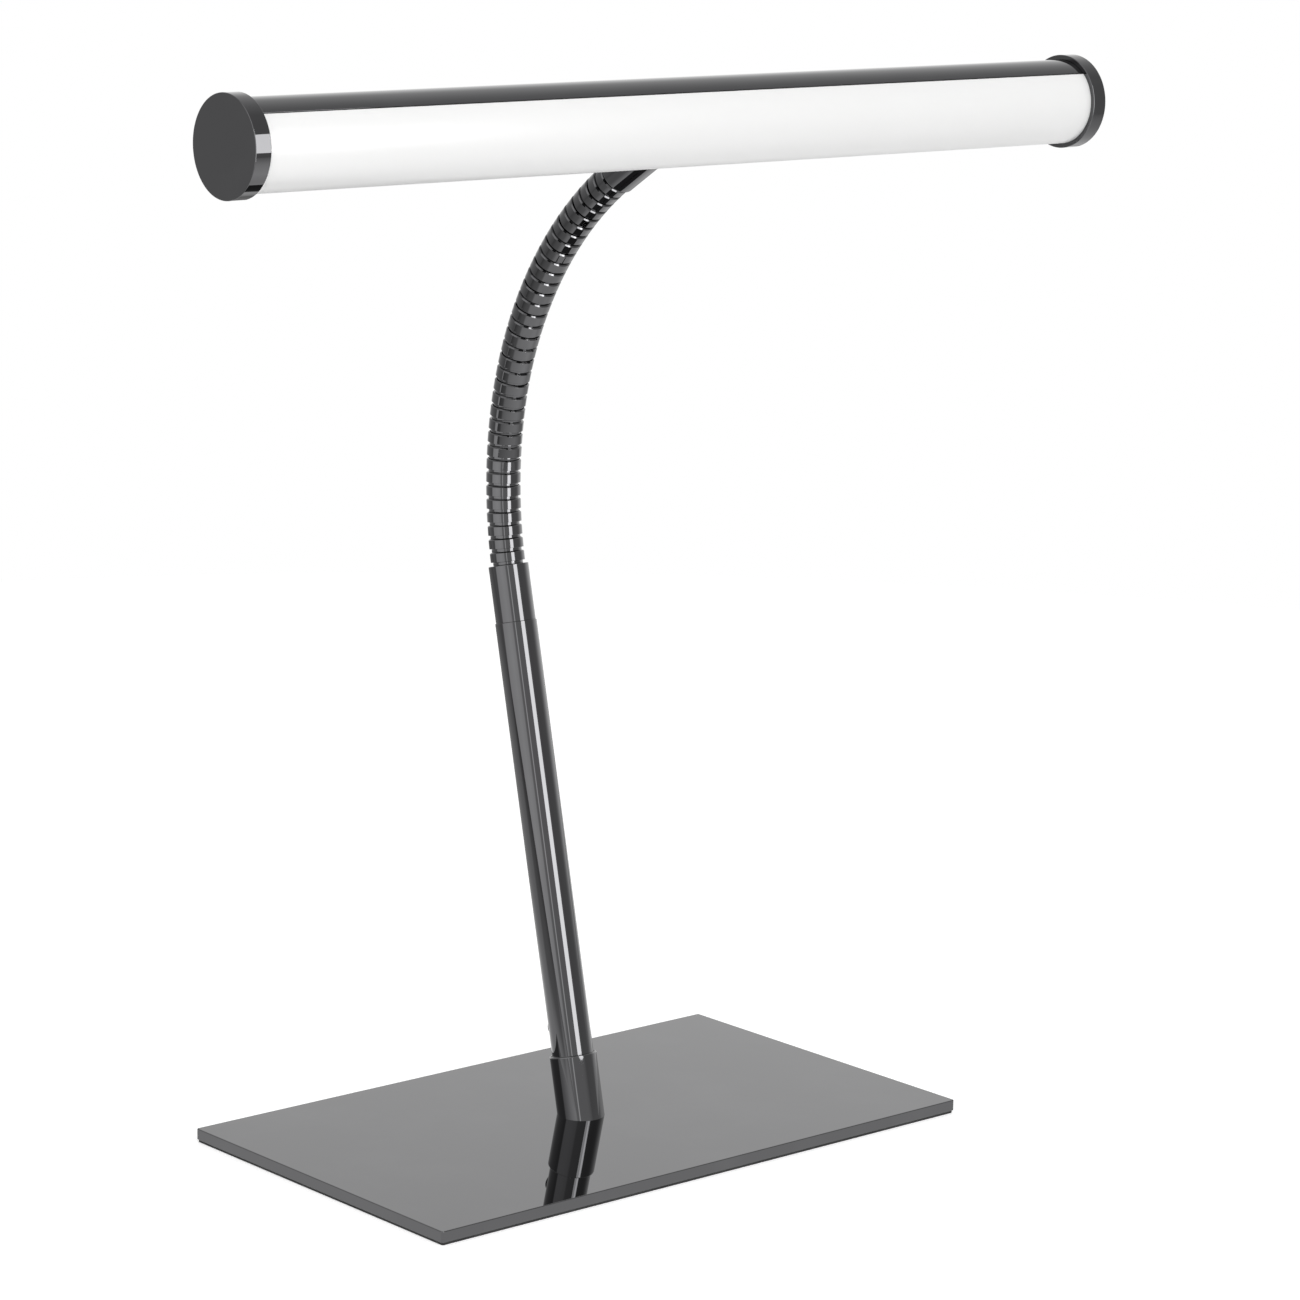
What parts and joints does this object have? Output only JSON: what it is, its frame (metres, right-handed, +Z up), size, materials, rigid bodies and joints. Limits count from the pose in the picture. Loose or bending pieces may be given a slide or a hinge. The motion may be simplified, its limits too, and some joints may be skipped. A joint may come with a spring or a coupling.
{
  "type": "piano lamp",
  "caption": "Desk or piano lamp with a flat base, a leaning post, a ringed flexible neck and a long tubular head with an opal diffuser and a push-button.",
  "frame": {"origin": "centre of the base's underside, on the surface it stands on", "axes": "+X along the head and the base's long side, -Y to the front where the light falls, +Z up"},
  "size_m": [0.378, 0.14, 0.3799],
  "materials": {
    "base_steel": "polished black nickel plate",
    "post_steel": "polished black nickel plate",
    "neck_steel": "polished black nickel plate",
    "head_metal": "polished black nickel plate",
    "cap_metal": "polished black nickel plate",
    "screw_steel": "zinc plated",
    "spring_steel": "bright drawn wire",
    "foot_pad": "matt foam rubber",
    "grommet_rubber": "matt moulded rubber",
    "opal_plastic": "satin opal white",
    "carrier_metal": "mill finish",
    "led_board_mask": "white solder mask",
    "led_phosphor": "yellow phosphor",
    "driver_board_mask": "green solder mask",
    "nylon": "natural nylon",
    "part_plastic": "moulded black",
    "terminal_plastic": "moulded green",
    "can_metal": "drawn can",
    "lead_sheath": "black flexible sheath",
    "wire_sheath": "red insulation"
  },
  "bodies": {
    "stand": {"base_plate": "base_steel", "base_pad": "foot_pad", "foot_socket": "post_steel", "foot_screw": "screw_steel", "grub_screw": "screw_steel", "post_tube": "post_steel", "cord_grommet": "grommet_rubber", "post_collar": "post_steel", "post_lead": "lead_sheath", "neck_lead": "lead_sheath"},
    "neck_01": {"neck_link_01": "neck_steel"},
    "neck_02": {"neck_link_02": "neck_steel"},
    "neck_03": {"neck_link_03": "neck_steel"},
    "neck_04": {"neck_link_04": "neck_steel"},
    "neck_05": {"neck_link_05": "neck_steel"},
    "neck_06": {"neck_link_06": "neck_steel"},
    "neck_07": {"neck_link_07": "neck_steel"},
    "neck_08": {"neck_link_08": "neck_steel"},
    "neck_09": {"neck_link_09": "neck_steel"},
    "neck_10": {"neck_link_10": "neck_steel"},
    "neck_11": {"neck_link_11": "neck_steel"},
    "neck_12": {"neck_link_12": "neck_steel"},
    "neck_13": {"neck_link_13": "neck_steel"},
    "neck_14": {"neck_link_14": "neck_steel"},
    "neck_15": {"neck_link_15": "neck_steel"},
    "neck_16": {"neck_link_16": "neck_steel"},
    "neck_17": {"neck_link_17": "neck_steel"},
    "head": {"head_ferrule": "post_steel", "ferrule_washer": "screw_steel", "ferrule_nut": "screw_steel", "head_shell": "head_metal", "diffuser": "opal_plastic", "end_cap_left": "cap_metal", "end_cap_right": "cap_metal", "led_carrier": "carrier_metal", "led_board": "led_board_mask", "led_chips": "led_phosphor", "carrier_screws": "screw_steel", "driver_board": "driver_board_mask", "driver_spacers": "nylon", "driver_screws": "screw_steel", "driver_terminal": "terminal_plastic", "driver_inductor": "part_plastic", "driver_capacitor": "can_metal", "driver_chips": "part_plastic", "switch_body": "part_plastic", "switch_spring": "spring_steel", "head_lead": "lead_sheath", "led_wires": "wire_sheath"},
    "button": {"switch_button": "cap_metal"}
  },
  "joints": [
    {"name": "neck_bend_1", "type": "hinge", "parent": "stand", "child": "neck_01", "pos_m": [0, 0.04507, 0.20021], "axis": [1, 0, 0], "range_deg": [-8, 7], "deforming": ["neck_lead"]},
    {"name": "neck_sway_1", "type": "hinge", "parent": "neck_01", "child": "neck_02", "pos_m": [0, 0.04677, 0.20964], "axis": [0, 0.9893, -0.1457], "range_deg": [-6, 6]},
    {"name": "neck_bend_2", "type": "hinge", "parent": "neck_02", "child": "neck_03", "pos_m": [0, 0.04786, 0.21915], "axis": [1, 0, 0], "range_deg": [-8, 7]},
    {"name": "neck_sway_2", "type": "hinge", "parent": "neck_03", "child": "neck_04", "pos_m": [0, 0.04833, 0.22872], "axis": [0, 0.9999, -0.017], "range_deg": [-6, 6]},
    {"name": "neck_bend_3", "type": "hinge", "parent": "neck_04", "child": "neck_05", "pos_m": [0, 0.04818, 0.2383], "axis": [1, 0, 0], "range_deg": [-8, 7]},
    {"name": "neck_sway_3", "type": "hinge", "parent": "neck_05", "child": "neck_06", "pos_m": [0, 0.04742, 0.24785], "axis": [0, 0.9937, 0.1119], "range_deg": [-6, 6]},
    {"name": "neck_bend_4", "type": "hinge", "parent": "neck_06", "child": "neck_07", "pos_m": [0, 0.04604, 0.25733], "axis": [1, 0, 0], "range_deg": [-8, 7]},
    {"name": "neck_sway_4", "type": "hinge", "parent": "neck_07", "child": "neck_08", "pos_m": [0, 0.04399, 0.26668], "axis": [0, 0.9681, 0.2504], "range_deg": [-6, 6]},
    {"name": "neck_bend_5", "type": "hinge", "parent": "neck_08", "child": "neck_09", "pos_m": [0, 0.04125, 0.27586], "axis": [1, 0, 0], "range_deg": [-8, 7]},
    {"name": "neck_sway_5", "type": "hinge", "parent": "neck_09", "child": "neck_10", "pos_m": [0, 0.03784, 0.28481], "axis": [0, 0.9206, 0.3904], "range_deg": [-6, 6]},
    {"name": "neck_bend_6", "type": "hinge", "parent": "neck_10", "child": "neck_11", "pos_m": [0, 0.03377, 0.29348], "axis": [1, 0, 0], "range_deg": [-8, 7]},
    {"name": "neck_sway_6", "type": "hinge", "parent": "neck_11", "child": "neck_12", "pos_m": [0, 0.02908, 0.30183], "axis": [0, 0.853, 0.5219], "range_deg": [-6, 6]},
    {"name": "neck_bend_7", "type": "hinge", "parent": "neck_12", "child": "neck_13", "pos_m": [0, 0.02378, 0.30981], "axis": [1, 0, 0], "range_deg": [-8, 7]},
    {"name": "neck_sway_7", "type": "hinge", "parent": "neck_13", "child": "neck_14", "pos_m": [0, 0.01791, 0.31738], "axis": [0, 0.7667, 0.642], "range_deg": [-6, 6]},
    {"name": "neck_bend_8", "type": "hinge", "parent": "neck_14", "child": "neck_15", "pos_m": [0, 0.01149, 0.32449], "axis": [1, 0, 0], "range_deg": [-8, 7]},
    {"name": "neck_sway_8", "type": "hinge", "parent": "neck_15", "child": "neck_16", "pos_m": [0, 0.00457, 0.33111], "axis": [0, 0.6637, 0.748], "range_deg": [-6, 6]},
    {"name": "neck_bend_9", "type": "hinge", "parent": "neck_16", "child": "neck_17", "pos_m": [0, -0.00283, 0.3372], "axis": [1, 0, 0], "range_deg": [-8, 7]},
    {"name": "neck_sway_9", "type": "hinge", "parent": "neck_17", "child": "head", "pos_m": [0, -0.01065, 0.34272], "axis": [0, 0.5461, 0.8377], "range_deg": [-6, 6]},
    {"name": "button_press", "type": "slide", "parent": "head", "child": "button", "axis": [0, -0.8746, -0.4848], "range_m": [0, 0.0015], "stiffness_N_per_m": 400, "springref_m": -0.002, "deforming": ["switch_spring"]}
  ],
  "couplings": [
    {"joint": "neck_bend_2", "follows": "neck_bend_1", "ratio": 1},
    {"joint": "neck_sway_2", "follows": "neck_sway_1", "ratio": 1},
    {"joint": "neck_bend_3", "follows": "neck_bend_1", "ratio": 1},
    {"joint": "neck_sway_3", "follows": "neck_sway_1", "ratio": 1},
    {"joint": "neck_bend_4", "follows": "neck_bend_1", "ratio": 1},
    {"joint": "neck_sway_4", "follows": "neck_sway_1", "ratio": 1},
    {"joint": "neck_bend_5", "follows": "neck_bend_1", "ratio": 1},
    {"joint": "neck_sway_5", "follows": "neck_sway_1", "ratio": 1},
    {"joint": "neck_bend_6", "follows": "neck_bend_1", "ratio": 1},
    {"joint": "neck_sway_6", "follows": "neck_sway_1", "ratio": 1},
    {"joint": "neck_bend_7", "follows": "neck_bend_1", "ratio": 1},
    {"joint": "neck_sway_7", "follows": "neck_sway_1", "ratio": 1},
    {"joint": "neck_bend_8", "follows": "neck_bend_1", "ratio": 1},
    {"joint": "neck_sway_8", "follows": "neck_sway_1", "ratio": 1},
    {"joint": "neck_bend_9", "follows": "neck_bend_1", "ratio": 1},
    {"joint": "neck_sway_9", "follows": "neck_sway_1", "ratio": 1}
  ]
}
